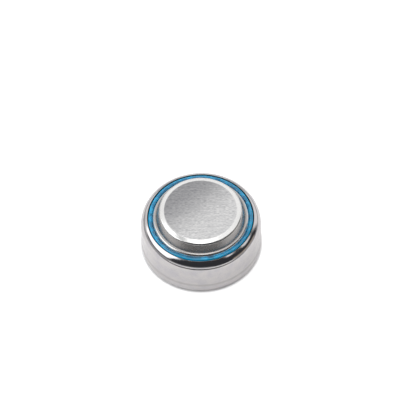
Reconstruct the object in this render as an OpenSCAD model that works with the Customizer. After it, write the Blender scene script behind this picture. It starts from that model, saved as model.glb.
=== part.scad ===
// Zinc-air button cell, standing on its positive base with the negative cap up.
// The origin is the centre of the base and Z is the axis. All sizes are millimetres.
//
// The cell is a crimped stack. A steel can holds paper, films, air cathode and
// separator; a stepped cap full of zinc stands on them in a plastic gasket, and the
// can's lip is curled over the gasket to press it on the shoulder of the cap.
// Every round piece is the revolve of one section drawn in [radius, height].

/* [Cell] */
// Outside diameter, at the band round the foot of the can
cell_d = 11.6; // [9.6:0.1:14]
// Height from the base to the top of the cap
cell_h = 5.4; // [4.4:0.1:7]

/* [Can] */
// Thickness of the can's steel sheet
can_t = 0.25; // [0.2:0.01:0.3]
// Outer bend radius between base and wall
can_corner_r = 0.35; // [0.32:0.01:0.5]
// Height of the full-diameter band that the closing die leaves round the foot
band_h = 0.8; // [0.7:0.05:1.2]
// How much smaller in radius the wall is above the band
band_step = 0.03; // [0.01:0.01:0.06]
// Height of the slope from band to wall
band_slope_h = 0.2; // [0.1:0.05:0.3]
// Width of the raised shelf round the base, from the can's outside to the step
shelf_w = 1.4; // [1.1:0.05:2]
// Width of the sloping step between the shelf and the flat of the base
step_run = 0.2; // [0.2:0.01:0.4]
// Inner bend radius at both ends of the step
step_r = 0.12; // [0.05:0.01:0.15]

/* [Crimp] */
// Outer radius of the curl at the can's lip
crimp_r = 1; // [0.95:0.01:1.1]
// How far round the curl goes, from the upright wall
crimp_angle = 61; // [50:1:64]
// Length of the straight end of the lip, after the curl
lip_straight = 0.14; // [0.08:0.01:0.16]
// Height from the start of the curl up to the foot of the cap's tier
crimp_drop = 1.11; // [1.05:0.01:1.2]

/* [Air holes] */
// Number of air holes in the base
hole_count = 6; // [1:1:8]
// Diameter of an air hole
hole_d = 0.4; // [0.2:0.05:0.6]
// Diameter of the circle that the air holes stand on
hole_circle_d = 5; // [2:0.1:6]

/* [Gasket] */
// Thickness of the gasket between can and cap
gasket_t = 0.42; // [0.36:0.01:0.48]
// Thickness of the gasket's foot under the cap
gasket_foot_t = 0.25; // [0.15:0.01:0.4]
// Edge radius round the bottom of the foot
gasket_edge_r = 0.12; // [0.05:0.01:0.2]
// Thickness of the upstand inside the cap
gasket_lip_t = 0.2; // [0.12:0.01:0.3]
// Height of the upstand, from the underside of the foot
gasket_lip_h = 0.95; // [0.7:0.05:1.5]
// How far the bead that the crimp squeezes up is pressed against the cap's shoulder
bead_press = 0.02; // [0.01:0.005:0.06]
// How much of the lip's cut edge the bead covers, as a part of the sheet
bead_cover = 0.3; // [0.1:0.05:0.8]

/* [Cap] */
// Thickness of the cap's sheet
cap_t = 0.25; // [0.18:0.01:0.28]
// Gap inside the cap's folded rim
fold_gap = 0.05; // [0.02:0.01:0.08]
// How far the rim of the folded leg stands above the start of the can's curl
fold_rise = 0.14; // [0:0.01:0.2]
// Height of the top tier above the foot of its wall
tier_h = 1.06; // [0.9:0.01:1.3]
// Radius that the tier's wall loses over its height
tier_inset = 0.4; // [0.2:0.01:0.7]
// Width of the flange round the foot of the tier
flange_w = 0.24; // [0.22:0.01:0.35]
// How far the flange falls over its width
flange_fall = 0.06; // [0.02:0.01:0.1]
// Width of the cone between the flange and the outside of the cap's leg
cone_w = 0.27; // [0.24:0.01:0.32]
// How far the cone falls over its width
cone_fall = 0.5; // [0.46:0.01:0.6]
// Outer bend radius at both ends of the cone
cone_r = 0.3; // [0.29:0.01:0.34]
// Outer bend radius at the foot of the tier
foot_r = 0.1; // [0.05:0.01:0.1]
// Outer bend radius round the top face
top_r = 0.56; // [0.35:0.01:0.6]

/* [Air electrode] */
// Thickness of the air diffusion paper, which is the depth of its pocket too
paper_t = 0.1; // [0.06:0.01:0.18]
// Thickness of the loose PTFE membrane
membrane_t = 0.08; // [0.04:0.01:0.15]
// Thickness of the PTFE film laminated to the cathode
laminate_t = 0.05; // [0.03:0.01:0.1]
// Thickness of the air cathode
cathode_t = 0.36; // [0.25:0.01:0.5]
// Thickness of the separator
separator_t = 0.1; // [0.05:0.01:0.2]
// Thickness of the nickel screen
screen_t = 0.12; // [0.06:0.01:0.15]
// Spacing of the screen's strands
screen_pitch = 0.8; // [0.6:0.05:1.2]
// Width of a strand
strand_w = 0.14; // [0.08:0.01:0.2]

/* [Zinc] */
// Free height over the zinc, under the top of the cap
zinc_void_h = 0.5; // [0.3:0.05:0.6]
// Radius of the zinc's upper edge
zinc_edge_r = 0.2; // [0.1:0.05:0.3]

/* [Fits] */
// Clearance between the gasket and the metal that squeezes it
seal_gap = 0.01; // [0.005:0.005:0.02]
// Clearance round the discs that drop into the can
disc_gap = 0.02; // [0.01:0.01:0.1]
// Clearance between the zinc and what holds it
zinc_gap = 0.03; // [0.01:0.01:0.1]

/* [Hidden] */
$fn = 180;
// Largest turn between two straights of a drawn arc, in degrees
arc_step = 6;

// Can
cell_r = cell_d / 2;
wall_r = cell_r - band_step;
bore_r = wall_r - can_t;
base_rise = paper_t;
step_out_r = cell_r - shelf_w;
step_in_r = step_out_r - step_run;
step_angle = atan(base_rise / step_run);
pocket_r = step_in_r - (can_t + step_r) * tan(step_angle / 2);

// Stack, from the can's base up
shelf_z = base_rise + can_t;
laminate_z = shelf_z + membrane_t;
cathode_z = laminate_z + laminate_t;
screen_z = cathode_z + cathode_t - screen_t;
separator_z = cathode_z + cathode_t;
foot_z = separator_z + separator_t;
disc_r = bore_r - disc_gap;
film_r = min(disc_r, cell_r - can_corner_r);

// Cap, from its folded rim inwards and up
fold_out_r = bore_r - gasket_t;
leg_out_r = fold_out_r - cap_t - fold_gap;
leg_in_r = leg_out_r - cap_t;
fold_bend_r = fold_gap / 2;
fold_z = foot_z + gasket_foot_t;
flange_z = cell_h - tier_h;
cone_top_r = leg_out_r - cone_w;
cone_top_z = flange_z - flange_fall;
tier_foot_r = cone_top_r - flange_w;
tier_top_r = tier_foot_r - tier_inset;
fold_centre = [leg_out_r + fold_bend_r, fold_z + cap_t + fold_bend_r];

// Crimp
crimp_z = flange_z - crimp_drop;
crimp_centre = [wall_r - crimp_r, crimp_z];
lip_along = [-sin(crimp_angle), cos(crimp_angle)];
fold_top_z = crimp_z + fold_rise;

// Gasket
upstand_out_r = leg_in_r - seal_gap;
upstand_in_r = upstand_out_r - gasket_lip_t;
upstand_z = foot_z + gasket_lip_h;
cone_out = unit([cone_fall, cone_w]);
bead_edge_r = crimp_r - can_t * (1 - bead_cover);
bead_edge = polar(crimp_centre, bead_edge_r, crimp_angle) + (lip_straight + seal_gap) * lip_along;
bead_span = (bead_edge - [cone_top_r, cone_top_z]) * cone_out - seal_gap;
bead_r = (bead_span + bead_press) / (1 + cone_out[0]);
bead_centre = bead_edge - [bead_r, 0];

// Zinc
zinc_z = cell_h - cap_t - zinc_void_h;

// ---- Drawing in the plane of the section ----

function unit(v) = v / norm(v);
function left(v) = [-v[1], v[0]];
function cross_z(u, v) = u[0] * v[1] - u[1] * v[0];
function angle_of(v) = atan2(v[1], v[0]);
function polar(centre, r, angle) = centre + r * [cos(angle), sin(angle)];
function reversed(list) = [for (i = [len(list) - 1 : -1 : 0]) list[i]];
function places(path) = [for (p = path) [p[0], p[1]]];

// A list of points without those that repeat the one before
function distinct(list) =
    [for (i = [0 : len(list) - 1]) if (i == 0 || norm(list[i] - list[i - 1]) > 1e-5) list[i]];

// Points along an arc, from one angle to another, both ends included
function arc(centre, r, from, to) =
    let (steps = max(1, ceil(abs(to - from) / arc_step)))
    [for (i = [0 : steps]) polar(centre, r, from + (to - from) * i / steps)];

// The corner b of the path a, b, c, rounded to radius r
function rounded_corner(a, b, c, r) =
    let (
        u = unit(b - a),
        v = unit(c - b),
        side = cross_z(u, v) > 0 ? 1 : -1,
        turn = acos(max(-1, min(1, u * v))),
        start = b - u * r * tan(turn / 2),
        centre = start + left(u) * side * r,
        from = angle_of(start - centre)
    )
    r == 0 ? [b] : arc(centre, r, from, from + side * turn);

// Points of a path whose corners are written as [radius, height, bend radius]
function bent(path) =
    let (last = len(path) - 1, at = places(path))
    distinct([for (i = [0 : last])
        each i == 0 || i == last ? [at[i]] : rounded_corner(at[i - 1], at[i], at[i + 1], path[i][2])]);

// Where the line through a along u meets the line through b along v
function meeting(a, u, b, v) = a + u * cross_z(b - a, v) / cross_z(u, v);

// The path moved to its left by t, with the bend radii that keep it parallel
function beside(path, t) =
    let (
        last = len(path) - 1,
        at = places(path),
        along = [for (i = [0 : last - 1]) unit(at[i + 1] - at[i])]
    )
    [for (i = [0 : last])
        let (
            u = along[max(i - 1, 0)],
            v = along[min(i, last - 1)],
            p = i == 0 || i == last
                ? at[i] + left(u) * t
                : meeting(at[i] + left(u) * t, u, at[i] + left(v) * t, v),
            sharp = path[i][2] == 0
        )
        [p[0], p[1], sharp ? 0 : max(0, path[i][2] - t * sign(cross_z(u, v)))]];

// Section of a bent sheet of thickness t, which lies to the left of the path of its
// outer face, or to the right where t is negative
module sheet_section(path, t) polygon(concat(bent(path), reversed(bent(beside(path, t)))));

// Where the line from a to b first crosses a circle
function crossing(a, b, centre, r) =
    let (
        u = unit(b - a),
        along = (centre - a) * u,
        apart = cross_z(u, centre - a)
    )
    a + u * (along - sqrt(r * r - apart * apart));

// ---- Can ----

// Outer face of the can, from the centre of the base out, up and round the curl
can_path = let (
        curl_corner_z = crimp_z + crimp_r * tan(crimp_angle / 2),
        lip_end = polar(crimp_centre, crimp_r, crimp_angle) + lip_straight * lip_along
    ) [
        [0, 0, 0],
        [step_in_r, 0, can_t + step_r],
        [step_out_r, base_rise, step_r],
        [cell_r, base_rise, can_corner_r],
        [cell_r, band_h, 0],
        [wall_r, band_h + band_slope_h, 0],
        [wall_r, curl_corner_z, crimp_r],
        [lip_end[0], lip_end[1], 0]
    ];

module cathode_can() {
    color("lightsteelblue") difference() {
        rotate_extrude() sheet_section(can_path, can_t);
        air_holes();
    }
}

module air_holes() {
    for (i = [0 : hole_count - 1])
        rotate(i * 360 / hole_count)
            translate([hole_circle_d / 2, 0, -can_t])
                cylinder(h = 3 * can_t, d = hole_d, $fn = 32);
}

// ---- Air electrode ----

// A plain disc of the stack
module disc(z, r, t) translate([0, 0, z]) cylinder(h = t, r = r);

module air_diffusion_paper() color("oldlace") disc(can_t, pocket_r - disc_gap, paper_t);
module ptfe_membrane() color("white") disc(shelf_z, film_r, membrane_t);
module ptfe_laminate() color("ghostwhite") disc(laminate_z, film_r, laminate_t);
module separator() color("ivory") disc(separator_z, disc_r, separator_t);

// The square windows between the strands that lie wholly inside the screen's rim
module screen_windows() {
    reach = floor(disc_r / screen_pitch);
    open = screen_pitch - strand_w;
    for (i = [-reach : reach])
        for (j = [-reach : reach])
            if (norm([abs(i) * screen_pitch + open / 2, abs(j) * screen_pitch + open / 2]) < disc_r - strand_w)
                translate([i, j] * screen_pitch) square(open, center = true);
}

module nickel_screen() {
    color("gray") translate([0, 0, screen_z]) linear_extrude(screen_t) difference() {
        circle(r = disc_r);
        screen_windows();
    }
}

// The mix is pressed up through the windows of the screen, level with its face
module air_cathode() {
    color("dimgray") {
        disc(cathode_z, disc_r, cathode_t - screen_t);
        translate([0, 0, screen_z]) linear_extrude(screen_t) screen_windows();
    }
}

// ---- Gasket ----

// The foot and upstand round the cap's fold, the wall against the can, and the bead
// squeezed up between the can's lip and the cone of the cap
module gasket_section() {
    wall = bore_r - seal_gap;
    curl_r = crimp_r - can_t - seal_gap;
    sealed = beside(cap_path, seal_gap);
    cone_top = places(sealed)[3];
    groove = crossing(cone_top, places(sealed)[4], bead_centre, bead_r);
    groove_angle = 180 + angle_of(bead_centre - groove);
    channel_r = fold_bend_r + cap_t + seal_gap;
    lip_foot = polar(crimp_centre, curl_r, crimp_angle) + (lip_straight + seal_gap) * lip_along;
    polygon(distinct(concat(
        bent([[upstand_in_r, foot_z, 0], [wall, foot_z, gasket_edge_r], [wall, crimp_z, 0]]),
        arc(crimp_centre, curl_r, 0, crimp_angle),
        [lip_foot],
        arc(bead_centre, bead_r, 0, groove_angle),
        bent([groove, sealed[4], [leg_out_r + seal_gap, fold_top_z + seal_gap]]),
        [[fold_out_r + seal_gap, fold_top_z + seal_gap]],
        arc(fold_centre, channel_r, 0, -180),
        [[upstand_out_r, upstand_z], [upstand_in_r, upstand_z]]
    )));
}

module gasket() color("deepskyblue") rotate_extrude() gasket_section();

// ---- Cap and zinc ----

// Outer face of the cap, from the centre of the top out and down, and round the fold
cap_path = let (fold_in_z = fold_z + cap_t) [
    [0, cell_h, 0],
    [tier_top_r, cell_h, top_r],
    [tier_foot_r, flange_z, foot_r],
    [cone_top_r, cone_top_z, cone_r],
    [leg_out_r, cone_top_z - cone_fall, cone_r],
    [leg_out_r, fold_in_z, fold_bend_r],
    [leg_out_r + fold_gap, fold_in_z, fold_bend_r],
    [leg_out_r + fold_gap, fold_top_z, 0]
];

module anode_cap() color("silver") rotate_extrude() sheet_section(cap_path, -cap_t);

// The zinc follows the inside of the cap and leaves the free space under its top
module zinc_section() {
    inside = beside(cap_path, -cap_t - zinc_gap);
    tier_top = inside[1];
    tier_foot = inside[2];
    rise = (zinc_z - tier_foot[1]) / (tier_top[1] - tier_foot[1]);
    foot = upstand_in_r - zinc_gap;
    polygon(bent([
        [0, foot_z, 0],
        [foot, foot_z, 0],
        [foot, upstand_z + zinc_gap, 0],
        [inside[4][0], upstand_z + zinc_gap, 0],
        inside[4],
        inside[3],
        tier_foot,
        [tier_foot[0] + rise * (tier_top[0] - tier_foot[0]), zinc_z, zinc_edge_r],
        [0, zinc_z, 0]
    ]));
}

module zinc_anode() color("slategray") rotate_extrude() zinc_section();

cathode_can();
air_diffusion_paper();
ptfe_membrane();
ptfe_laminate();
air_cathode();
nickel_screen();
separator();
gasket();
zinc_anode();
anode_cap();
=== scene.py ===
"""Looks of a zinc-air button cell: crimped can, blue gasket and stepped cap, on a pale table.

Lengths are metres, in the frame of the CAD model: the base is centred on the origin and
Z is the cell's axis. Every round piece is the full spin of a section drawn in the XZ
plane, whose places are written as (radius, height).
"""

import logging
import math
from dataclasses import dataclass
from enum import Enum
from typing import Callable, Iterable, Sequence

import bmesh
import bpy
from mathutils import Matrix, Vector, noise

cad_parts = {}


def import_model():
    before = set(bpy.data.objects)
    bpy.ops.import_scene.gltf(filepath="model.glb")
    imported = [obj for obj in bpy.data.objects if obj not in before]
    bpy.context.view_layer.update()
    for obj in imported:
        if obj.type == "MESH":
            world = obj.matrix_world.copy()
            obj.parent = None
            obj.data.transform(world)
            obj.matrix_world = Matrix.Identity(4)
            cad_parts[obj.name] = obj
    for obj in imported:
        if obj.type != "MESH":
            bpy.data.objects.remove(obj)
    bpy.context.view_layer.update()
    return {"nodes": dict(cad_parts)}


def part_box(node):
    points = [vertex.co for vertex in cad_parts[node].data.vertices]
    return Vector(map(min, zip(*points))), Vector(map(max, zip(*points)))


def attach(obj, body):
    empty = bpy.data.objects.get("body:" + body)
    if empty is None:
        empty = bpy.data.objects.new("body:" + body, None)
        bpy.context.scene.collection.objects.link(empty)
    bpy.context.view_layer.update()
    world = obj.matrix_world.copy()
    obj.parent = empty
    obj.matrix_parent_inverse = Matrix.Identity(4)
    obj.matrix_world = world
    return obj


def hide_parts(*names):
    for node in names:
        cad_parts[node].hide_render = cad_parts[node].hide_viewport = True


LOG = logging.getLogger("button_cell")

MM = 0.001
BODY = "root"

# Meshing
SPIN_STEPS = 256
ARC_STEP_DEG = 4.0
HOLD = 0.012 * MM
MERGE = 0.0001 * MM
FLAT = 0.001 * MM
LEVEL = 0.9999
CREASE = math.radians(40.0)
ORIGIN = (0.0, 0.0, 0.0)
CELL_AXIS = (0.0, 0.0, 1.0)
WHITE = (1.0, 1.0, 1.0)
COOL = (0.98, 0.99, 1.0)
SECTION_AXIS = (0.0, -1.0, 0.0)

Colour = tuple[float, float, float]
Mesh = bmesh.types.BMesh
Socket = bpy.types.NodeSocket


def rgba(colour: Colour) -> tuple[float, float, float, float]:
    """Return the colour with full alpha."""
    return (*colour, 1.0)


def polar(centre: Vector, radius: float, degrees: float) -> Vector:
    """Return the place at an angle from the radius axis on a circle of the section."""
    angle = math.radians(degrees)
    return centre + Vector((math.cos(angle), math.sin(angle))) * radius


def angle_of(direction: Vector) -> float:
    """Return the angle of a direction in the section, in degrees."""
    return math.degrees(math.atan2(direction.y, direction.x))


# ---------------------------------------------------------------------------
# Sections and solids
# ---------------------------------------------------------------------------


@dataclass(frozen=True)
class Corner:
    """A corner of a section: its place, and the radius that it is bent to."""

    radius: float
    height: float
    bend: float = 0.0

    @property
    def place(self) -> Vector:
        """Return the corner's place in the section."""
        return Vector((self.radius, self.height))


class SectionPen:
    """Draws a section with a vertex: straight runs extrude it, and bends spin it."""

    def __init__(self, mesh: Mesh, start: Vector) -> None:
        """Put the pen down.

        Args:
            mesh: The mesh that the section is drawn in.
            start: Where the section starts.
        """
        self.mesh = mesh
        self.first = mesh.verts.new((start.x, 0.0, start.y))
        self.tip = self.first

    @property
    def place(self) -> Vector:
        """Return where the pen is."""
        return Vector((self.tip.co.x, self.tip.co.z))

    def step_to(self, place: Vector) -> None:
        """Extrude the tip straight to a place."""
        self.tip = bmesh.ops.extrude_vert_indiv(self.mesh, verts=[self.tip])["verts"][0]
        self.tip.co = (place.x, 0.0, place.y)

    def run_to(self, place: Vector) -> None:
        """Run straight to a place.

        A long run gets a short step at each end, which keeps its shading flat beside a bend.

        Args:
            place: Where the run ends.
        """
        start = self.place
        run = place - start
        if run.length < MERGE:
            return
        if run.length > 4 * HOLD:
            hold = run.normalized() * HOLD
            self.step_to(start + hold)
            self.step_to(place - hold)
        self.step_to(place)

    def bend(self, centre: Vector, degrees: float) -> None:
        """Spin the tip round a centre.

        Args:
            centre: The centre of the arc.
            degrees: How far to go, counted from the radius axis towards the height axis.
        """
        made = bmesh.ops.spin(
            self.mesh,
            geom=[self.tip],
            cent=(centre.x, 0.0, centre.y),
            axis=SECTION_AXIS,
            angle=math.radians(degrees),
            steps=max(2, math.ceil(abs(degrees) / ARC_STEP_DEG)),
        )
        self.tip = next(v for v in made["geom_last"] if isinstance(v, bmesh.types.BMVert))

    def follow(self, corners: Sequence[Corner]) -> None:
        """Run along a path whose corners are bent to their own radii.

        Args:
            corners: The path, the first corner being where the pen is.
        """
        for before, corner, after in zip(corners, corners[1:], corners[2:]):
            arriving = (corner.place - before.place).normalized()
            leaving = (after.place - corner.place).normalized()
            turn = math.atan2(arriving.cross(leaving), arriving.dot(leaving))
            start = corner.place - arriving * corner.bend * math.tan(abs(turn) / 2)
            self.run_to(start)
            if corner.bend > 0:
                inwards = Vector((-arriving.y, arriving.x)) * math.copysign(corner.bend, turn)
                self.bend(start + inwards, math.degrees(turn))
        self.run_to(corners[-1].place)

    def close(self) -> None:
        """Join the tip to the place where the section started."""
        self.mesh.edges.new((self.tip, self.first))


def revolve(mesh: Mesh) -> None:
    """Spin all that is drawn a full turn about the cell's axis, and close seam and poles."""
    bmesh.ops.spin(
        mesh,
        geom=mesh.verts[:] + mesh.edges[:],
        cent=ORIGIN,
        axis=CELL_AXIS,
        angle=math.tau,
        steps=SPIN_STEPS,
        use_merge=True,
    )
    bmesh.ops.remove_doubles(mesh, verts=mesh.verts[:], dist=MERGE)
    bmesh.ops.recalc_face_normals(mesh, faces=mesh.faces[:])


def round_edges(mesh: Mesh, edges: Iterable[bmesh.types.BMEdge], width: float) -> None:
    """Round edges off.

    Args:
        mesh: The mesh that the edges are in.
        edges: The edges to round.
        width: How far the rounding reaches on each side.
    """
    bmesh.ops.bevel(
        mesh,
        geom=list(edges),
        offset=width,
        offset_type="OFFSET",
        affect="EDGES",
        segments=3,
        profile=0.5,
        material=-1,
    )


def finished_piece(
    name: str,
    mesh: Mesh,
    node: str,
    materials: Sequence[bpy.types.Material],
) -> bpy.types.Object:
    """Make a piece of a mesh, in place of a CAD node.

    Level faces are shaded flat, and creases stay sharp.

    Args:
        name: The piece's name.
        mesh: Its geometry, which is freed.
        node: The CAD node that it stands for.
        materials: Its materials, by face index.

    Returns:
        The piece, riding on the cell's one body.
    """
    for face in mesh.faces:
        face.smooth = abs(face.normal.z) < LEVEL
    for edge in mesh.edges:
        edge.smooth = edge.calc_face_angle(0.0) < CREASE
    data = bpy.data.meshes.new(name)
    mesh.to_mesh(data)
    mesh.free()
    for material in materials:
        data.materials.append(material)
    piece = bpy.data.objects.new(name, data)
    bpy.context.scene.collection.objects.link(piece)
    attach(piece, BODY)
    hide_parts(node)
    LOG.info("%s: %d faces, for %s", name, len(data.polygons), node)
    return piece


# ---------------------------------------------------------------------------
# Shader nodes
# ---------------------------------------------------------------------------


class Wiring:
    """Adds nodes to one tree and joins them."""

    def __init__(self, tree: bpy.types.NodeTree) -> None:
        """Start on a tree."""
        self.tree = tree

    def feed(self, socket: Socket, value: object) -> None:
        """Join a socket to another, or set it to a plain value."""
        if isinstance(value, Socket):
            self.tree.links.new(value, socket)
        else:
            socket.default_value = value

    def node(self, kind: str, inputs: dict | None = None, **settings: object) -> bpy.types.Node:
        """Add a node.

        Args:
            kind: The node's type.
            inputs: Its inputs by name or index, each a socket or a value.
            **settings: Its other properties.

        Returns:
            The node.
        """
        made = self.tree.nodes.new(kind)
        for name, value in settings.items():
            setattr(made, name, value)
        for key, value in (inputs or {}).items():
            self.feed(made.inputs[key], value)
        return made

    def math(self, operation: str, first: object, second: object = 0.0) -> Socket:
        """Add a math node and return its result."""
        return self.node("ShaderNodeMath", {0: first, 1: second}, operation=operation).outputs[0]

    def times(self, first: object, second: object) -> Socket:
        """Return the product of two values."""
        return self.math("MULTIPLY", first, second)

    def plus(self, first: object, second: object) -> Socket:
        """Return the sum of two values."""
        return self.math("ADD", first, second)

    def minus(self, first: object, second: object) -> Socket:
        """Return the first value less the second."""
        return self.math("SUBTRACT", first, second)

    def ramp(self, value: object, low: float, high: float) -> Socket:
        """Return a value brought smoothly from 0 at low to 1 at high."""
        inputs = {"Value": value, "From Min": low, "From Max": high}
        node = self.node("ShaderNodeMapRange", inputs, interpolation_type="SMOOTHSTEP")
        return node.outputs["Result"]

    def spread(self, value: object, low: float, high: float) -> Socket:
        """Return a value from 0 to 1 brought to a range."""
        inputs = {"Value": value, "To Min": low, "To Max": high}
        return self.node("ShaderNodeMapRange", inputs).outputs["Result"]

    def mix(self, factor: object, first: object, second: object, blend: str = "MIX") -> Socket:
        """Return the mix of two colours."""
        node = self.node("ShaderNodeMix", data_type="RGBA", blend_type=blend)
        for index, value in ((0, factor), (6, first), (7, second)):
            self.feed(node.inputs[index], value)
        return node.outputs[2]

    def noise(self, vector: object, scale: object, detail: float = 2.0) -> Socket:
        """Return the value of a noise texture."""
        inputs = {"Vector": vector, "Scale": scale, "Detail": detail}
        return self.node("ShaderNodeTexNoise", inputs).outputs["Fac"]

    def object_place(self) -> Socket:
        """Return the place on the piece, in its own coordinates."""
        return self.node("ShaderNodeTexCoord").outputs["Object"]

    def axes(self, vector: object) -> tuple[Socket, ...]:
        """Return the three parts of a vector."""
        return tuple(self.node("ShaderNodeSeparateXYZ", {0: vector}).outputs)

    def vector(self, x: object, y: object, z: object) -> Socket:
        """Return a vector of three parts."""
        return self.node("ShaderNodeCombineXYZ", {0: x, 1: y, 2: z}).outputs[0]

    def length(self, vector: object) -> Socket:
        """Return the length of a vector."""
        return self.node("ShaderNodeVectorMath", {0: vector}, operation="LENGTH").outputs["Value"]


class Effect(Enum):
    """Surface effects that several finishes share, each a node group built once."""

    MOTTLE = "mottle"
    BRUSHED_LINES = "brushed_lines"
    DRAWN_LINES = "drawn_lines"
    FINE_SCRATCHES = "fine_scratches"

    def place(self, wiring: Wiring, **values: float) -> Socket:
        """Put the effect in a material.

        Args:
            wiring: The material's wiring.
            **values: The group's inputs by name, such as length or width.

        Returns:
            The effect's value, from 0 to 1.
        """
        group = bpy.data.node_groups.get(self.value) or self.build()
        node = wiring.node("ShaderNodeGroup", node_tree=group)
        for name, value in values.items():
            wiring.feed(node.inputs[name], value)
        return node.outputs["value"]

    def build(self) -> bpy.types.NodeTree:
        """Build the effect's node group and return it."""
        inputs, recipe = EFFECT_RECIPES[self]
        group = bpy.data.node_groups.new(self.value, "ShaderNodeTree")
        for name in inputs:
            group.interface.new_socket(name=name, in_out="INPUT", socket_type="NodeSocketFloat")
        group.interface.new_socket(name="value", in_out="OUTPUT", socket_type="NodeSocketFloat")
        wiring = Wiring(group)
        given = wiring.node("NodeGroupInput").outputs
        wiring.node("NodeGroupOutput", {"value": recipe(wiring, given)})
        return group


def mottle_recipe(wiring: Wiring, given: object) -> Socket:
    """Return soft blotches, each about as wide as the size given."""
    scale = wiring.math("DIVIDE", 1.0, given["size"])
    return wiring.noise(wiring.object_place(), scale, 3.0)


def brushed_recipe(wiring: Wiring, given: object) -> Socket:
    """Return straight lines along X, of the length and width given."""
    x, y, _ = wiring.axes(wiring.object_place())
    vector = wiring.vector(
        wiring.math("DIVIDE", x, given["length"]), wiring.math("DIVIDE", y, given["width"]), 0.0
    )
    return wiring.noise(vector, 1.0, 3.0)


def drawn_recipe(wiring: Wiring, given: object) -> Socket:
    """Return marks of the size given around the axis and along the section."""
    x, y, z = wiring.axes(wiring.object_place())
    flat = wiring.vector(x, y, 0.0)
    radius = wiring.length(flat)
    around = wiring.node("ShaderNodeVectorMath", {0: flat}, operation="NORMALIZE").outputs[0]
    turn_x, turn_y, _ = wiring.axes(around)
    bend_scale = wiring.math("DIVIDE", 5.0 * MM, given["around"])
    along = wiring.math("DIVIDE", wiring.minus(z, radius), given["along"])
    vector = wiring.vector(wiring.times(turn_x, bend_scale), wiring.times(turn_y, bend_scale), along)
    return wiring.noise(vector, 1.0, 3.0)


def scratch_recipe(wiring: Wiring, given: object) -> Socket:
    """Return thin scratches in two directions, of the length given, where the cover allows."""
    place = wiring.object_place()
    masks = []
    for turn, shift in ((0.5, 0.0), (2.1, 3.7)):
        mapping = {"Vector": place, "Rotation": (0.3, 0.2, turn), "Location": (shift * MM, 0.0, 0.0)}
        x, y, z = wiring.axes(wiring.node("ShaderNodeMapping", mapping).outputs[0])
        width = wiring.times(given["length"], 0.035)
        vector = wiring.vector(
            wiring.math("DIVIDE", x, given["length"]),
            wiring.math("DIVIDE", y, width),
            wiring.math("DIVIDE", z, width),
        )
        threshold = wiring.minus(0.78, given["cover"])
        over = wiring.minus(wiring.noise(vector, 1.0, 1.0), threshold)
        masks.append(wiring.ramp(over, 0.0, 0.05))
    return wiring.math("MAXIMUM", masks[0], masks[1])


EFFECT_RECIPES: dict[Effect, tuple[tuple[str, ...], Callable]] = {
    Effect.MOTTLE: (("size",), mottle_recipe),
    Effect.BRUSHED_LINES: (("length", "width"), brushed_recipe),
    Effect.DRAWN_LINES: (("around", "along"), drawn_recipe),
    Effect.FINE_SCRATCHES: (("length", "cover"), scratch_recipe),
}


class FinishSheet:
    """The node tree of one material, from its effects to its Principled BSDF."""

    def __init__(self, name: str) -> None:
        """Start a material with an empty tree."""
        self.material = bpy.data.materials.new(name)
        self.material.use_nodes = True
        self.material.node_tree.nodes.clear()
        self.wiring = Wiring(self.material.node_tree)

    def relief(self, height: object, depth: float) -> Socket:
        """Return the normal of a relief."""
        inputs = {"Height": height, "Distance": depth, "Strength": 1.0}
        return self.wiring.node("ShaderNodeBump", inputs).outputs[0]

    def finish(self, **inputs: object) -> bpy.types.Material:
        """Close the material.

        Args:
            **inputs: The Principled BSDF's inputs, with _ for the spaces of their names.

        Returns:
            The material.
        """
        named = {key.replace("_", " "): value for key, value in inputs.items()}
        shader = self.wiring.node("ShaderNodeBsdfPrincipled", named)
        self.wiring.node("ShaderNodeOutputMaterial", {"Surface": shader.outputs[0]})
        return self.material


# ---------------------------------------------------------------------------
# Finishes
# ---------------------------------------------------------------------------


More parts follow.
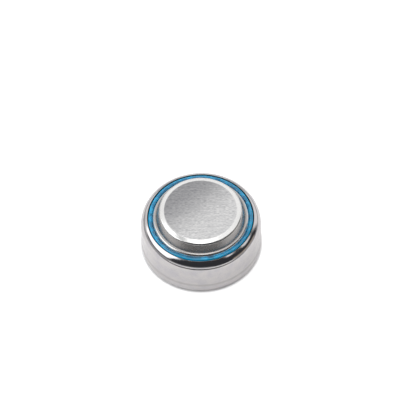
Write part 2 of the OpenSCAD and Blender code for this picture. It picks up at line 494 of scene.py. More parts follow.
@dataclass(frozen=True)
class NickelPlate:
    """Satin nickel plate on the can: polished by the die, with painted shade on the ledge and in the
    plus sign.
    """

    colour: Colour = (0.61, 0.585, 0.58)
    stain: Colour = (0.55, 0.53, 0.55)
    polished: float = 0.1
    satin: float = 0.24
    wall_top: float = 3.2 * MM
    polish_reach: float = 0.4 * MM
    ledge: tuple[float, float] = (0.92 * MM, 1.2 * MM)
    ledge_fade: float = 0.06 * MM
    # Share of the plate's brightness in the painted shade on the ledge.
    ledge_shade_tone: float = 0.8
    stamp_depth: float = 0.03 * MM
    stamp_reach: float = 1.6 * MM
    # Share of the plate's brightness in the painted shade on the floor of the plus sign.
    stamp_shade_tone: float = 0.35

    def dimmed(self, tone: float) -> tuple[float, float, float, float]:
        """Return the plate's colour at a share of its brightness."""
        return rgba(tuple(part * tone for part in self.colour))

    def stamped(self, wiring: Wiring, x: object, y: object, z: object) -> Socket:
        """Return 1 on the floor of the plus sign, and 0 elsewhere."""
        depth = self.stamp_depth
        apart = wiring.length(wiring.vector(x, y, wiring.minus(z, depth)))
        sunk = wiring.times(
            wiring.ramp(z, depth * 0.3, depth * 0.8), wiring.ramp(z, depth * 2.5, depth * 1.5)
        )
        return wiring.times(sunk, wiring.math("LESS_THAN", apart, self.stamp_reach))

    def material(self) -> bpy.types.Material:
        """Return the material."""
        sheet = FinishSheet("nickel_plate")
        wiring = sheet.wiring
        x, y, z = wiring.axes(wiring.object_place())
        wall = wiring.ramp(z, self.wall_top + self.polish_reach, self.wall_top - self.polish_reach)
        mottle = Effect.MOTTLE.place(wiring, size=0.9 * MM)
        grain = Effect.MOTTLE.place(wiring, size=0.06 * MM)
        lines = Effect.DRAWN_LINES.place(wiring, around=2.5 * MM, along=0.05 * MM)
        scratches = Effect.FINE_SCRATCHES.place(wiring, length=1.6 * MM, cover=0.06)
        specks = Effect.MOTTLE.place(wiring, size=0.13 * MM)
        base = wiring.mix(wiring.ramp(mottle, 0.35, 0.75), rgba(self.colour), rgba(self.stain))
        # Painted shade: a darker band round the ledge, made blotchy by the mottle.
        low, high = self.ledge
        over = wiring.ramp(z, low - self.ledge_fade, low + self.ledge_fade)
        under = wiring.ramp(z, high + self.ledge_fade, high - self.ledge_fade)
        painted_ledge_shade = wiring.times(wiring.times(over, under), wiring.spread(mottle, 0.4, 1.4))
        # The darker colour of the painted ledge shade, and of the specks on the wall.
        speck_and_shade_colour = self.dimmed(self.ledge_shade_tone)
        base = wiring.mix(painted_ledge_shade, base, speck_and_shade_colour)
        dots = wiring.times(wiring.ramp(specks, 0.55, 0.75), wiring.times(wall, 0.4))
        base = wiring.mix(dots, base, speck_and_shade_colour)
        # Painted shade on the sunken floor of the plus sign.
        base = wiring.mix(self.stamped(wiring, x, y, z), base, self.dimmed(self.stamp_shade_tone))
        rough = wiring.spread(wall, self.polished, self.satin)
        rough = wiring.plus(rough, wiring.spread(mottle, -0.02, 0.03))
        rough = wiring.plus(rough, wiring.times(scratches, 0.12))
        marks = wiring.plus(wiring.times(lines, 0.6), wiring.times(grain, 0.5))
        height = wiring.minus(marks, wiring.times(scratches, 1.5))
        normal = sheet.relief(height, 0.0006 * MM)
        return sheet.finish(Base_Color=base, Roughness=rough, Metallic=1.0, Normal=normal)


@dataclass(frozen=True)
class CutEdge:
    """The cut edge of the can's lip, with the tears the blanking die left, coloured dark as painted
    shade.
    """

    # Dark colours of the cut edge: painted shade.
    colour: Colour = (0.16, 0.15, 0.145)
    torn: Colour = (0.07, 0.065, 0.06)

    def material(self) -> bpy.types.Material:
        """Return the material."""
        sheet = FinishSheet("cut_edge")
        wiring = sheet.wiring
        tear = Effect.DRAWN_LINES.place(wiring, around=0.12 * MM, along=0.3 * MM)
        base = wiring.mix(wiring.ramp(tear, 0.4, 0.7), rgba(self.colour), rgba(self.torn))
        normal = sheet.relief(tear, 0.004 * MM)
        rough = wiring.spread(tear, 0.3, 0.45)
        return sheet.finish(Base_Color=base, Roughness=rough, Metallic=1.0, Normal=normal)


@dataclass(frozen=True)
class BrushedCap:
    """Nickel face of the cap: brushed flat top with painted shade towards one side, polished rim, and
    duller drawn wall with painted shade all round.
    """

    top: float
    shoulder: float
    wall_h: float = 0.86 * MM
    colour: Colour = (0.8, 0.795, 0.785)
    bright: Colour = (0.76, 0.755, 0.75)
    dull: Colour = (0.43, 0.43, 0.44)
    # Colour of the painted shade over the far side of the flat top.
    painted_shade_colour: Colour = (0.5, 0.5, 0.515)
    # Colour of the drawn wall, darker all round: painted shade.
    drawn: Colour = (0.38, 0.362, 0.352)
    polished: float = 0.19
    wall_roughness: float = 0.27
    top_roughness: float = 0.35
    fade: float = 0.012 * MM
    wall_fade: float = 0.12 * MM
    # Direction and reach of the painted shade across the flat top.
    painted_shade_lean: float = 0.8
    painted_shade_span: tuple[float, float] = (-3.6 * MM, 2.4 * MM)

    def material(self) -> bpy.types.Material:
        """Return the material."""
        sheet = FinishSheet("brushed_cap")
        wiring = sheet.wiring
        x, y, z = wiring.axes(wiring.object_place())
        flat = wiring.ramp(z, self.top - self.fade, self.top)
        fine = Effect.BRUSHED_LINES.place(wiring, length=1.4 * MM, width=0.035 * MM)
        broad = Effect.BRUSHED_LINES.place(wiring, length=5.0 * MM, width=0.16 * MM)
        drawn = Effect.DRAWN_LINES.place(wiring, around=0.25 * MM, along=1.2 * MM)
        mottle = Effect.MOTTLE.place(wiring, size=1.1 * MM)
        scratches = Effect.FINE_SCRATCHES.place(wiring, length=1.2 * MM, cover=0.05)
        short = Effect.BRUSHED_LINES.place(wiring, length=0.3 * MM, width=0.07 * MM)
        above = wiring.ramp(z, self.shoulder - self.wall_fade, self.shoulder)
        wall_top = self.shoulder + self.wall_h
        below = wiring.ramp(z, wall_top + self.wall_fade, wall_top - self.wall_fade)
        wall = wiring.times(above, below)
        grain = wiring.plus(wiring.times(fine, 0.65), wiring.times(broad, 0.35))
        tone = wiring.plus(wiring.times(grain, 0.5), wiring.times(short, 0.5))
        brushed = wiring.mix(wiring.ramp(tone, 0.36, 0.62), rgba(self.dull), rgba(self.bright))
        # Painted shade: the brushed top darkens towards the left and back.
        painted_shade_ramp = wiring.ramp(wiring.minus(wiring.times(x, self.painted_shade_lean), y), *self.painted_shade_span)
        shading = wiring.mix(painted_shade_ramp, rgba(self.painted_shade_colour), rgba(WHITE))
        brushed_with_painted_shade = wiring.mix(1.0, brushed, shading, blend="MULTIPLY")
        # The drawn wall's darker colour is painted shade.
        side = wiring.mix(wall, rgba(self.colour), rgba(self.drawn))
        base = wiring.mix(flat, side, brushed_with_painted_shade)
        rough_top = wiring.spread(grain, self.top_roughness - 0.08, self.top_roughness + 0.08)
        rough_side = wiring.spread(wall, self.polished, self.wall_roughness)
        rough_side = wiring.plus(rough_side, wiring.spread(mottle, -0.02, 0.03))
        rough = wiring.node("ShaderNodeMix", {0: flat, 2: rough_side, 3: rough_top}).outputs[0]
        side_marks = wiring.minus(wiring.times(drawn, 0.25), scratches)
        top_marks = wiring.times(grain, 2.5)
        height = wiring.node("ShaderNodeMix", {0: flat, 2: side_marks, 3: top_marks}).outputs[0]
        normal = sheet.relief(height, 0.0012 * MM)
        return sheet.finish(Base_Color=base, Roughness=rough, Metallic=1.0, Normal=normal)


@dataclass(frozen=True)
class BlueNylon:
    """Glossy blue nylon of the gasket, clouded at random, with a painted highlight along the bead's
    outer side by the lip.
    """

    bead_r: float
    colour: Colour = (0.004, 0.235, 0.46)
    # Colour of the random clouds, and of the painted highlight by the lip.
    cloud: Colour = (0.012, 0.52, 0.92)
    painted_highlight_width: float = 0.12 * MM
    scatter: tuple[float, float, float] = (0.2 * MM, 0.4 * MM, 0.6 * MM)

    def material(self) -> bpy.types.Material:
        """Return the material."""
        sheet = FinishSheet("blue_nylon")
        wiring = sheet.wiring
        cloud = Effect.DRAWN_LINES.place(wiring, around=0.7 * MM, along=0.25 * MM)
        fine = Effect.DRAWN_LINES.place(wiring, around=0.16 * MM, along=0.08 * MM)
        x, y, _ = wiring.axes(wiring.object_place())
        radius = wiring.length(wiring.vector(x, y, 0.0))
        # Painted highlight: the bead lightens towards its outer side by the lip.
        pressed_and_painted_highlight = wiring.ramp(radius, self.bead_r, self.bead_r + self.painted_highlight_width)
        clouds_and_painted_highlight = wiring.math("MAXIMUM", wiring.ramp(cloud, 0.42, 0.66), wiring.times(pressed_and_painted_highlight, 0.7))
        base = wiring.mix(clouds_and_painted_highlight, rgba(self.colour), rgba(self.cloud))
        normal = sheet.relief(fine, 0.011 * MM)
        rough = wiring.spread(cloud, 0.08, 0.18)
        return sheet.finish(
            Base_Color=base,
            Roughness=rough,
            Normal=normal,
            IOR=1.55,
            Specular_IOR_Level=0.7,
            Subsurface_Weight=0.15,
            Subsurface_Radius=self.scatter,
            Subsurface_Scale=0.5,
        )


@dataclass(frozen=True)
class FibreSheet:
    """Paper or film: fibres that lie all ways, matte, with soft cloudiness."""

    name: str
    colour: Colour
    thin: Colour
    fibre: float
    relief: float = 0.004 * MM
    roughness: float = 0.85

    def material(self) -> bpy.types.Material:
        """Return the material."""
        sheet = FinishSheet(self.name)
        wiring = sheet.wiring
        cloud = Effect.MOTTLE.place(wiring, size=12 * self.fibre)
        fibres = Effect.BRUSHED_LINES.place(wiring, length=8 * self.fibre, width=self.fibre)
        specks = Effect.MOTTLE.place(wiring, size=2 * self.fibre)
        base = wiring.mix(wiring.ramp(cloud, 0.3, 0.8), rgba(self.colour), rgba(self.thin))
        height = wiring.plus(fibres, specks)
        rough = wiring.spread(specks, self.roughness - 0.06, self.roughness + 0.06)
        normal = sheet.relief(height, self.relief)
        return sheet.finish(Base_Color=base, Roughness=rough, Normal=normal)


@dataclass(frozen=True)
class PressedPowder:
    """Packed powder, such as carbon mix or gelled zinc: grains with dark hollows."""

    name: str
    colour: Colour
    hollow: Colour
    grain: float
    metal: float
    roughness: float

    def material(self) -> bpy.types.Material:
        """Return the material."""
        sheet = FinishSheet(self.name)
        wiring = sheet.wiring
        inputs = {"Vector": wiring.object_place(), "Scale": 1.0 / self.grain}
        cell = wiring.node("ShaderNodeTexVoronoi", inputs).outputs["Distance"]
        lumps = Effect.MOTTLE.place(wiring, size=5 * self.grain)
        base = wiring.mix(wiring.ramp(cell, 0.2, 0.7), rgba(self.colour), rgba(self.hollow))
        rough = wiring.spread(lumps, self.roughness - 0.1, self.roughness + 0.1)
        height = wiring.minus(lumps, cell)
        normal = sheet.relief(height, 0.4 * self.grain)
        return sheet.finish(Base_Color=base, Roughness=rough, Metallic=self.metal, Normal=normal)


@dataclass(frozen=True)
class BareNickel:
    """Rolled nickel of the collector screen."""

    colour: Colour = (0.6, 0.57, 0.5)
    tarnish: Colour = (0.42, 0.39, 0.33)

    def material(self) -> bpy.types.Material:
        """Return the material."""
        sheet = FinishSheet("bare_nickel")
        wiring = sheet.wiring
        stain = Effect.MOTTLE.place(wiring, size=0.5 * MM)
        lines = Effect.BRUSHED_LINES.place(wiring, length=0.9 * MM, width=0.02 * MM)
        base = wiring.mix(wiring.ramp(stain, 0.4, 0.7), rgba(self.colour), rgba(self.tarnish))
        normal = sheet.relief(lines, 0.001 * MM)
        rough = wiring.spread(stain, 0.25, 0.4)
        return sheet.finish(Base_Color=base, Roughness=rough, Metallic=1.0, Normal=normal)


# ---------------------------------------------------------------------------
# The cell
# ---------------------------------------------------------------------------


@dataclass(frozen=True)
class CellLayout:
    """Sizes that can, gasket and cap share, and the places that follow from them."""

    cell_r: float
    cell_h: float
    can_t: float = 0.25 * MM
    band_step: float = 0.03 * MM
    crimp_r: float = 1.0 * MM
    crimp_angle: float = 61.0
    crimp_drop: float = 1.11 * MM
    lip_straight: float = 0.14 * MM
    gasket_t: float = 0.42 * MM
    cap_t: float = 0.25 * MM
    fold_gap: float = 0.05 * MM
    fold_rise: float = 0.14 * MM
    tier_h: float = 1.06 * MM
    flange_w: float = 0.24 * MM
    flange_fall: float = 0.06 * MM
    cone_w: float = 0.27 * MM
    cone_fall: float = 0.5 * MM
    cone_r: float = 0.3 * MM
    foot_z: float = 0.94 * MM
    gasket_foot_t: float = 0.25 * MM
    seal_gap: float = 0.01 * MM

    @property
    def wall_r(self) -> float:
        """Return the outer radius of the can above its band."""
        return self.cell_r - self.band_step

    @property
    def bore_r(self) -> float:
        """Return the inner radius of the can."""
        return self.wall_r - self.can_t

    @property
    def leg_out_r(self) -> float:
        """Return the outer radius of the cap's leg."""
        return self.bore_r - self.gasket_t - self.cap_t - self.fold_gap

    @property
    def fold_out_r(self) -> float:
        """Return the outer radius of the cap's folded rim."""
        return self.bore_r - self.gasket_t

    @property
    def fold_z(self) -> float:
        """Return the height of the bottom of the fold."""
        return self.foot_z + self.gasket_foot_t

    @property
    def fold_centre(self) -> Vector:
        """Return the centre that the fold is bent round."""
        half = self.fold_gap / 2
        return Vector((self.leg_out_r + half, self.fold_z + self.cap_t + half))

    @property
    def tier_foot(self) -> Vector:
        """Return the foot of the cap's tier."""
        return self.cone_top + Vector((-self.flange_w, self.flange_fall))

    @property
    def cone_top(self) -> Vector:
        """Return the corner between the cap's flange and its cone."""
        height = self.cell_h - self.tier_h - self.flange_fall
        return Vector((self.leg_out_r - self.cone_w, height))

    @property
    def cone_foot(self) -> Vector:
        """Return the corner between the cap's cone and its leg."""
        return self.cone_top + Vector((self.cone_w, -self.cone_fall))

    @property
    def crimp_centre(self) -> Vector:
        """Return the centre of the can's curl."""
        return Vector((self.wall_r - self.crimp_r, self.cell_h - self.tier_h - self.crimp_drop))

    @property
    def lip_along(self) -> Vector:
        """Return the direction of the straight end of the lip."""
        return polar(Vector((0.0, 0.0)), 1.0, self.crimp_angle + 90)

    @property
    def fold_top_z(self) -> float:
        """Return the height of the rim of the folded leg."""
        return self.crimp_centre.y + self.fold_rise


@dataclass(frozen=True)
class CrimpedCan:
    """The steel can: stepped base with air holes, ledged wall, and lip curled inwards."""

    layout: CellLayout
    corner_r: float = 0.35 * MM
    band_h: float = 0.8 * MM
    band_slope_h: float = 0.2 * MM
    band_blend: float = 0.12 * MM
    shelf_w: float = 1.4 * MM
    step_run: float = 0.2 * MM
    step_rise: float = 0.1 * MM
    step_r: float = 0.12 * MM
    plate_r: float = 3.6 * MM
    hole_count: int = 6
    hole_r: float = 0.2 * MM
    hole_circle_r: float = 2.5 * MM
    hole_segments: int = 32
    hole_lead: float = 0.035 * MM
    plus_span: float = 2.0 * MM
    plus_arm: float = 0.42 * MM
    plus_depth: float = 0.03 * MM
    lip_edge_r: float = 0.012 * MM

    def skin_path(self) -> list[Corner]:
        """Return the outer face of the can, from the plate out, up and round the curl."""
        layout = self.layout
        step_out_r = layout.cell_r - self.shelf_w
        curl = layout.crimp_centre
        curl_corner_z = curl.y + layout.crimp_r * math.tan(math.radians(layout.crimp_angle) / 2)
        lip_end = polar(curl, layout.crimp_r, layout.crimp_angle)
        lip_end += layout.lip_along * layout.lip_straight
        return [
            Corner(self.plate_r, 0.0),
            Corner(step_out_r - self.step_run, 0.0, layout.can_t + self.step_r),
            Corner(step_out_r, self.step_rise, self.step_r),
            Corner(layout.cell_r, self.step_rise, self.corner_r),
            Corner(layout.cell_r, self.band_h, self.band_blend),
            Corner(layout.wall_r, self.band_h + self.band_slope_h, self.band_blend),
            Corner(layout.wall_r, curl_corner_z, layout.crimp_r),
            Corner(lip_end.x, lip_end.y),
        ]

    def add_plate(self, mesh: Mesh) -> None:
        """Fill the flat of the base, leaving the air holes open and the plus sign a face of its own."""
        circles = [(ORIGIN, self.plate_r, SPIN_STEPS)]
        for index in range(self.hole_count):
            place = polar(Vector((0.0, 0.0)), self.hole_circle_r, 360 * index / self.hole_count)
            circles.append(((place.x, place.y, 0.0), self.hole_r, self.hole_segments))
        edges: set[bmesh.types.BMEdge] = set()
        for centre, radius, segments in circles:
            made = bmesh.ops.create_circle(
                mesh, segments=segments, radius=radius, matrix=Matrix.Translation(centre)
            )
            edges.update(edge for vert in made["verts"] for edge in vert.link_edges)
        edges.update(self.add_plus(mesh))
        bmesh.ops.triangle_fill(mesh, edges=list(edges), use_beauty=True, normal=(0.0, 0.0, -1.0))

    def add_plus(self, mesh: Mesh) -> list[bmesh.types.BMEdge]:
        """Add the faces of the plus sign: a square with an arm extruded from each side.

        Args:
            mesh: The mesh of the base.

        Returns:
            The edges round the sign.
        """
        made = bmesh.ops.create_grid(mesh, x_segments=1, y_segments=1, size=self.plus_arm / 2)
        sides = {edge for vert in made["verts"] for edge in vert.link_edges}
        outline: list[bmesh.types.BMEdge] = []
        for side in sides:
            outwards = (side.verts[0].co + side.verts[1].co).normalized()
            arm = bmesh.ops.extrude_edge_only(mesh, edges=[side])["geom"]
            tips = [item for item in arm if isinstance(item, bmesh.types.BMVert)]
            reach = outwards * (self.plus_span - self.plus_arm) / 2
            bmesh.ops.translate(mesh, verts=tips, vec=reach)
            new_edges = {edge for vert in tips for edge in vert.link_edges}
            outline.extend(new_edges)
        return outline

    def sink_plus(self, mesh: Mesh) -> None:
        """Press the plus sign into the outer face of the base."""
        half_arm = self.plus_arm / 2
        half_span = self.plus_span / 2
        pressed_and_painted_highlight = []
        for face in mesh.faces:
            middle = face.calc_center_median()
            near, far = sorted((abs(middle.x), abs(middle.y)))
            if abs(middle.z) < FLAT and near < half_arm and far < half_span:
                pressed_and_painted_highlight.append(face)
        made = bmesh.ops.extrude_face_region(mesh, geom=pressed_and_painted_highlight)["geom"]
        sunk = [item for item in made if isinstance(item, bmesh.types.BMVert)]
        bmesh.ops.translate(mesh, verts=sunk, vec=(0.0, 0.0, self.plus_depth))
        bmesh.ops.delete(mesh, geom=[face for face in pressed_and_painted_highlight if face.is_valid], context="FACES")

    def build(self) -> bpy.types.Object:
        """Build the can and return it."""
        mesh = bmesh.new()
        path = self.skin_path()
        pen = SectionPen(mesh, path[0].place)
        pen.follow(path)
        revolve(mesh)
        self.add_plate(mesh)
        bmesh.ops.remove_doubles(mesh, verts=mesh.verts[:], dist=MERGE)
        bmesh.ops.recalc_face_normals(mesh, faces=mesh.faces[:])
        bmesh.ops.solidify(mesh, geom=mesh.faces[:], thickness=self.layout.can_t)
        self.sink_plus(mesh)
        self.round_hole_edges(mesh)
        self.finish_lip(mesh)
        materials = (NickelPlate().material(), CutEdge().material())
        return finished_piece("crimped_can", mesh, "cathode_can", materials)

    def round_hole_edges(self, mesh: Mesh) -> None:
        """Round the punched side of each air hole."""
        reach = self.hole_circle_r + self.hole_r + FLAT
        rims = [
            edge
            for edge in mesh.edges
            if edge.is_manifold
            and all(abs(vert.co.z) < FLAT and vert.co.length < reach for vert in edge.verts)
            and abs(edge.link_faces[0].normal.z - edge.link_faces[1].normal.z) > 0.5
            and edge.verts[0].co.length > self.plus_span
        ]
        round_edges(mesh, rims, self.hole_lead)

    def finish_lip(self, mesh: Mesh) -> None:
        """Round the lip's cut edge a little and give its face the cut finish."""
        along = self.layout.lip_along
        top_z = self.layout.crimp_centre.y
        cut = []
        for face in mesh.faces:
            middle = face.calc_center_median()
            outwards = Vector((middle.x, middle.y, 0.0)).normalized()
            lip_way = outwards * along.x + Vector((0.0, 0.0, along.y))
            if middle.z > top_z and face.normal.dot(lip_way) > 0.9:
                cut.append(face)
        for face in cut:
            face.material_index = 1
        inside = set(cut)
        sides = {edge for face in cut for edge in face.edges}
        rims = [edge for edge in sides if any(face not in inside for face in edge.link_faces)]
        round_edges(mesh, rims, self.lip_edge_r)


@dataclass(frozen=True)
class SealingGasket:
    """The nylon ring between can and cap, squeezed up into a bead beside the lip."""

    layout: CellLayout
    edge_r: float = 0.12 * MM
    lip_t: float = 0.2 * MM
    lip_h: float = 0.95 * MM
    bead_press: float = 0.02 * MM
    bead_cover: float = 0.3
    ripple: float = 0.014 * MM
    ripple_length: float = 1.1 * MM

    def bead(self) -> tuple[Vector, float]:
        """Return the centre and radius of the bead between lip and cone."""
        layout = self.layout
        edge_r = layout.crimp_r - layout.can_t * (1 - self.bead_cover)
        edge = polar(layout.crimp_centre, edge_r, layout.crimp_angle)
        edge += layout.lip_along * (layout.lip_straight + layout.seal_gap)
        out = Vector((layout.cone_fall, layout.cone_w)).normalized()
        span = (edge - layout.cone_top).dot(out) - layout.seal_gap
        radius = (span + self.bead_press) / (1 + out.x)
        return edge - Vector((radius, 0.0)), radius

    def sealed_cone(self) -> tuple[Vector, Vector]:
        """Return both ends of the gasket's face on the cone: its groove with the bead, and its foot."""
        layout = self.layout
        centre, radius = self.bead()
        down = (layout.cone_foot - layout.cone_top).normalized()
        out = Vector((-down.y, down.x))
        apart = (centre - layout.cone_top).dot(out) - layout.seal_gap
        along = (centre - layout.cone_top).dot(down) - math.sqrt(radius**2 - apart**2)
        groove = layout.cone_top + out * layout.seal_gap + down * along
        leg = layout.leg_out_r + layout.seal_gap
        return groove, Vector((leg, groove.y - (leg - groove.x) * layout.cone_fall / layout.cone_w))

    def draw(self, mesh: Mesh) -> None:
        """Draw the gasket's section: foot, wall, curl, bead, shoulder, fold channel, upstand."""
        layout = self.layout
        gap = layout.seal_gap
        wall = layout.bore_r - gap
        upstand_out_r = layout.leg_out_r - layout.cap_t - gap
        upstand_in_r = upstand_out_r - self.lip_t
        curl_r = layout.crimp_r - layout.can_t - gap
        channel_r = layout.fold_gap / 2 + layout.cap_t + gap
        bead_centre, bead_r = self.bead()
        groove, cone_foot = self.sealed_cone()
        lip_foot = polar(layout.crimp_centre, curl_r, layout.crimp_angle)
        lip_foot += layout.lip_along * (layout.lip_straight + gap)
        path = [
            Corner(upstand_in_r, layout.foot_z),
            Corner(wall, layout.foot_z, self.edge_r),
            Corner(wall, layout.crimp_centre.y),
        ]
        pen = SectionPen(mesh, path[0].place)
        pen.follow(path)
        pen.bend(layout.crimp_centre, layout.crimp_angle)
        pen.run_to(lip_foot)
        pen.run_to(bead_centre + Vector((bead_r, 0.0)))
        pen.bend(bead_centre, 180 + angle_of(bead_centre - groove))
        channel = Corner(layout.leg_out_r + gap, layout.fold_top_z + gap)
        pen.follow([Corner(*groove), Corner(*cone_foot, layout.cone_r + gap), channel])
        pen.run_to(Vector((layout.fold_out_r + gap, layout.fold_top_z + gap)))
        pen.run_to(layout.fold_centre + Vector((channel_r, 0.0)))
        pen.bend(layout.fold_centre, -180)
        pen.run_to(Vector((upstand_out_r, layout.foot_z + self.lip_h)))
        pen.run_to(Vector((upstand_in_r, layout.foot_z + self.lip_h)))
        pen.close()

    def ripple_bead(self, mesh: Mesh) -> None:
        """Let the top of the bead rise and fall a little, as squeezed plastic does."""
        centre, radius = self.bead()
        for vert in mesh.verts:
            section = Vector((vert.co.xy.length, vert.co.z)) - centre
            if section.length > radius * 1.02 or section.y < 0:
                continue
            around = Vector((*vert.co.xy.normalized(), 0.0)) * centre.x / self.ripple_length
            swell = noise.noise(around) + 0.5 * noise.noise(around * 3.1)
            vert.co.z += self.ripple * swell * section.y / radius

    def build(self) -> bpy.types.Object:
        """Build the gasket and return it."""
        mesh = bmesh.new()
        self.draw(mesh)
        revolve(mesh)
        self.ripple_bead(mesh)
        materials = (BlueNylon(self.bead()[0].x).material(),)
        return finished_piece("squeezed_gasket", mesh, "gasket", materials)


@dataclass(frozen=True)
class SteppedCap:
    """The deep-drawn cap: flat top, leaning tier, flange, cone, and folded leg."""

    layout: CellLayout
    tier_inset: float = 0.4 * MM
    crown_r: float = 3.5 * MM
    crown_slope: float = 20.0
    crown_bend: float = 0.5 * MM
    rim_bend: float = 0.25 * MM
    foot_r: float = 0.1 * MM

    def rim(self) -> Vector:
        """Return the corner where the line of the crown meets the line of the tier's wall."""
        layout = self.layout
        foot = layout.tier_foot
        wall = Vector((-self.tier_inset, layout.tier_h)).normalized()
        fall = math.tan(math.radians(self.crown_slope))
        start = Vector((self.crown_r, layout.cell_h))
        along = (start.y - foot.y - (foot.x - start.x) * fall) / (wall.y + wall.x * fall)
        return foot + wall * along

    def skin_path(self) -> list[Corner]:
        """Return the outer face of the cap, from the centre of its top to its folded rim."""
        layout = self.layout
        foot, cone_top, cone_foot = layout.tier_foot, layout.cone_top, layout.cone_foot
        fold_in_z = layout.fold_z + layout.cap_t
        fold_bend = layout.fold_gap / 2
        return_r = layout.leg_out_r + layout.fold_gap
        return [
            Corner(0.0, layout.cell_h),
            Corner(self.crown_r, layout.cell_h, self.crown_bend),
            Corner(*self.rim(), self.rim_bend),
            Corner(foot.x, foot.y, self.foot_r),
            Corner(cone_top.x, cone_top.y, layout.cone_r),
            Corner(cone_foot.x, cone_foot.y, layout.cone_r),
            Corner(cone_foot.x, fold_in_z, fold_bend),
            Corner(return_r, fold_in_z, fold_bend),
            Corner(return_r, layout.fold_top_z),
        ]

    def build(self) -> bpy.types.Object:
        """Build the cap and return it."""
        mesh = bmesh.new()
        path = self.skin_path()
        pen = SectionPen(mesh, path[0].place)
        pen.follow(path)
        revolve(mesh)
        top = max(mesh.faces, key=lambda face: face.calc_center_median().z)
        if top.normal.z < 0:
            bmesh.ops.reverse_faces(mesh, faces=mesh.faces[:])
        bmesh.ops.solidify(mesh, geom=mesh.faces[:], thickness=self.layout.cap_t)
        materials = (BrushedCap(self.layout.cell_h, self.layout.tier_foot.y).material(),)
        return finished_piece("stepped_cap", mesh, "anode_cap", materials)


class InnerStack:
    """The sealed pieces between can and cap, which keep the CAD model's shape."""

    FINISHES = {
        "air_diffusion_paper": FibreSheet(
            "diffusion_paper", (0.86, 0.83, 0.75), (0.74, 0.7, 0.6), 0.02 * MM
        ),
        "ptfe_membrane": FibreSheet(
            "membrane_film", (0.88, 0.89, 0.9), (0.8, 0.82, 0.84), 0.01 * MM, 0.001 * MM, 0.5
        ),
        "ptfe_laminate": FibreSheet(
            "laminate_film", (0.9, 0.9, 0.9), (0.82, 0.83, 0.84), 0.008 * MM, 0.001 * MM, 0.45
        ),
        "separator": FibreSheet(
            "separator_film", (0.87, 0.83, 0.72), (0.78, 0.73, 0.6), 0.015 * MM, 0.003 * MM, 0.7
        ),
        "air_cathode": PressedPowder(
            "cathode_mix", (0.035, 0.034, 0.033), (0.008, 0.008, 0.008), 0.05 * MM, 0.0, 0.8
        ),
        "zinc_anode": PressedPowder(
            "gelled_zinc", (0.42, 0.44, 0.46), (0.12, 0.13, 0.14), 0.15 * MM, 0.8, 0.5
        ),
        "nickel_screen": BareNickel(),
    }

    def dress(self, nodes: dict[str, bpy.types.Object]) -> None:
        """Give each sealed piece its finish.

        Args:
            nodes: The CAD nodes by name.
        """
        for name, finish in self.FINISHES.items():
            material = finish.material()
            for slot in nodes[name].material_slots:
                slot.material = material
            LOG.info("%s: %s", name, material.name)


# ---------------------------------------------------------------------------
# The studio
# ---------------------------------------------------------------------------


@dataclass(frozen=True)
class SkyPanel:
    """A soft-edged patch of the studio as the metal sees it, in degrees."""

    azimuth: float
    half_width: float
    elevation: float
    half_height: float
    colour: Colour
    strength: float
    soft: float = 6.0


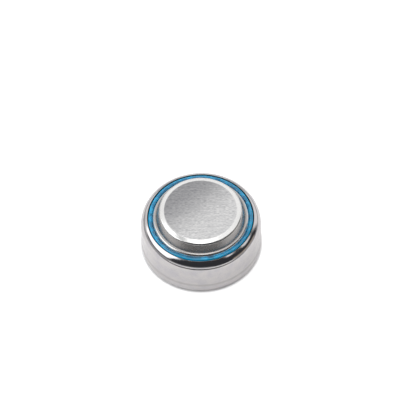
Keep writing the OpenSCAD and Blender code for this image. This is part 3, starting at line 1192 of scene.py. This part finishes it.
@dataclass(frozen=True)
class Studio:
    """Pale table, light tent with a dark opening towards the camera, and the camera."""

    table_r: float = 80.0 * MM
    table_colour: Colour = (0.82, 0.82, 0.82)
    table_glow: float = 0.7
    mirrored_glow: float = 0.42
    # Reach and strength of the painted contact shadow in the table's glow.
    painted_shadow_reach: float = 0.3 * MM
    painted_shadow_depth: float = 2.4
    # Where the painted shade strip lies on the camera's side; only reflections see it.
    painted_shade_strip: tuple[float, float, float, float] = (-46.0 * MM, -37.0 * MM, -18.0 * MM, -13.0 * MM)
    dark: Colour = (0.042, 0.044, 0.05)
    camera_distance: float = 400.0 * MM
    camera_elevation: float = 54.1
    camera_roll: float = -1.8
    sensor_width: float = 36.0 * MM
    image_width: float = 400.0
    pixels_per_mm: float = 10.41
    middle_height: float = 2.7 * MM
    middle_pixel: tuple[float, float] = (200.94, 226.45)
    panels: tuple[SkyPanel, ...] = (
        SkyPanel(95.0, 62.0, 45.0, 46.0, WHITE, 0.95, 8.0),
        SkyPanel(75.0, 42.0, 45.0, 46.0, WHITE, 1.05, 14.0),
        SkyPanel(70.0, 70.0, 92.0, 50.0, WHITE, 1.0, 5.0),
        SkyPanel(60.0, 90.0, 92.0, 34.0, WHITE, 1.1, 4.0),
        SkyPanel(178.0, 40.0, 66.0, 9.0, COOL, 0.55, 4.0),
        SkyPanel(180.0, 28.0, 45.0, 15.0, COOL, 2.0, 8.0),
        SkyPanel(178.0, 40.0, 8.0, 6.0, COOL, 0.5, 5.0),
        SkyPanel(-112.0, 36.0, 9.0, 4.0, COOL, 0.35, 5.0),
        SkyPanel(-14.0, 22.0, 11.0, 5.0, (1.0, 0.88, 0.74), 0.5, 5.0),
        SkyPanel(0.0, 200.0, 92.0, 14.0, WHITE, 2.1, 3.0),
        SkyPanel(0.0, 200.0, 0.0, 5.0, (0.95, 0.97, 1.0), 0.5, 4.0),
        SkyPanel(-90.0, 52.0, 1.0, 5.5, COOL, 0.95, 3.0),
        SkyPanel(0.0, 200.0, -50.0, 46.0, WHITE, 0.9, 3.0),
    )

    def soft_window(
        self, wiring: Wiring, value: object, centre: float, half: float, soft: float
    ) -> Socket:
        """Return 1 within half of the centre, falling softly to 0 outside."""
        apart = wiring.math("ABSOLUTE", wiring.minus(value, centre))
        return wiring.ramp(apart, half + soft, half)

    def build_world(self) -> None:
        """Build the world that lights the cell, white where the camera looks straight at it."""
        world = bpy.data.worlds.new("light_tent")
        world.use_nodes = True
        world.node_tree.nodes.clear()
        bpy.context.scene.world = world
        wiring = Wiring(world.node_tree)
        x, y, z = wiring.axes(wiring.node("ShaderNodeTexCoord").outputs["Generated"])
        degrees = 180 / math.pi
        azimuth = wiring.times(wiring.math("ARCTAN2", y, x), degrees)
        elevation = wiring.times(wiring.math("ARCSINE", z), degrees)
        colour: object = rgba(self.dark)
        for panel in self.panels:
            turned = wiring.math("WRAP", wiring.minus(azimuth, panel.azimuth), 180.0)
            turned.node.inputs[2].default_value = -180.0
            across = self.soft_window(wiring, turned, 0.0, panel.half_width, panel.soft)
            up = self.soft_window(wiring, elevation, panel.elevation, panel.half_height, panel.soft)
            light = tuple(part * panel.strength for part in panel.colour)
            colour = wiring.mix(wiring.times(across, up), colour, rgba(light))
        seen = wiring.node("ShaderNodeLightPath").outputs["Is Camera Ray"]
        colour = wiring.mix(seen, colour, rgba(WHITE))
        background = wiring.node("ShaderNodeBackground", {"Color": colour, "Strength": 1.0})
        wiring.node("ShaderNodeOutputWorld", {"Surface": background.outputs[0]})

    def build_table(self) -> None:
        """Build the white table, which keeps the cell's shadow.

        It glows for the camera, with a painted contact shadow where the cell stands close above
        it. Reflections see a weaker glow, and a painted shade strip on the camera's side.
        """
        mesh = bmesh.new()
        bmesh.ops.create_circle(mesh, cap_ends=True, segments=128, radius=self.table_r)
        data = bpy.data.meshes.new("table")
        mesh.to_mesh(data)
        mesh.free()
        table = bpy.data.objects.new("table", data)
        bpy.context.scene.collection.objects.link(table)
        material = bpy.data.materials.new("white_table")
        material.use_nodes = True
        material.node_tree.nodes.clear()
        wiring = Wiring(material.node_tree)
        path = wiring.node("ShaderNodeLightPath").outputs
        straight = wiring.math("MAXIMUM", path["Is Camera Ray"], path["Is Transmission Ray"])
        # Painted contact shadow: the glow fades where the cell stands close above the table.
        inputs = {"Distance": self.painted_shadow_reach}
        outside_painted_shadow = wiring.node("ShaderNodeAmbientOcclusion", inputs, samples=16).outputs["AO"]
        outside_painted_shadow = wiring.math("POWER", outside_painted_shadow, self.painted_shadow_depth)
        # Painted shade: a dark strip on the camera's side of the table, which only reflections see.
        _, y, _ = wiring.axes(wiring.object_place())
        far, deep, shallow, near = self.painted_shade_strip
        painted_shade_mask = wiring.times(wiring.ramp(y, far, deep), wiring.ramp(y, near, shallow))
        direct = wiring.times(wiring.times(straight, self.table_glow), outside_painted_shadow)
        mirrored = wiring.times(path["Is Glossy Ray"], self.mirrored_glow)
        glow = wiring.plus(direct, wiring.times(mirrored, wiring.minus(1.0, painted_shade_mask)))
        dimmed = wiring.times(path["Is Glossy Ray"], painted_shade_mask)
        tone = wiring.mix(dimmed, rgba(self.table_colour), rgba(self.dark))
        lit = wiring.node("ShaderNodeBsdfDiffuse", {"Color": tone}).outputs[0]
        white = wiring.node("ShaderNodeEmission", {"Color": rgba(WHITE), "Strength": glow})
        both = wiring.node("ShaderNodeAddShader", {0: lit, 1: white.outputs[0]})
        wiring.node("ShaderNodeOutputMaterial", {"Surface": both.outputs[0]})
        data.materials.append(material)

    def build_camera(self) -> None:
        """Build the camera, which looks down at the cell with the roll of a hand-held shot."""
        elevation = math.radians(self.camera_elevation)
        roll = math.radians(self.camera_roll)
        back = Vector((0.0, -math.cos(elevation), math.sin(elevation)))
        level_up = Vector((0.0, math.sin(elevation), math.cos(elevation)))
        level_right = Vector((1.0, 0.0, 0.0))
        right = level_right * math.cos(roll) + level_up * math.sin(roll)
        up = level_up * math.cos(roll) - level_right * math.sin(roll)
        pixel = MM / self.pixels_per_mm
        across = (self.image_width / 2 - self.middle_pixel[0]) * pixel
        above = (self.middle_pixel[1] - self.image_width / 2) * pixel
        target = Vector((0.0, 0.0, self.middle_height)) + right * across + up * above
        data = bpy.data.cameras.new("camera")
        data.sensor_width = self.sensor_width / MM
        frame_width = self.image_width * pixel
        data.lens = self.sensor_width * self.camera_distance / frame_width / MM
        data.clip_start = 10 * MM
        camera = bpy.data.objects.new("camera", data)
        turn = Matrix((right, up, back)).transposed().to_4x4()
        camera.matrix_world = Matrix.Translation(target + back * self.camera_distance) @ turn
        bpy.context.scene.collection.objects.link(camera)
        bpy.context.scene.camera = camera

    def build(self) -> None:
        """Build the studio."""
        bpy.context.scene.view_settings.view_transform = "Standard"
        self.build_world()
        self.build_table()
        self.build_camera()


def corners(box: tuple) -> list[list[float]]:
    """Return a box's corners as plain lists."""
    return [list(corner) for corner in box]


def main() -> None:
    """Load the CAD model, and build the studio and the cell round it."""
    logging.basicConfig(level=logging.INFO, format="%(name)s: %(message)s")
    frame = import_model()
    Studio().build()
    _, can_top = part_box("cathode_can")
    _, cap_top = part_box("anode_cap")
    layout = CellLayout(cell_r=can_top.x, cell_h=cap_top.z)
    for assembly in (CrimpedCan(layout), SealingGasket(layout), SteppedCap(layout)):
        assembly.build()
    InnerStack().dress(frame["nodes"])


if __name__ == "__main__":
    main()
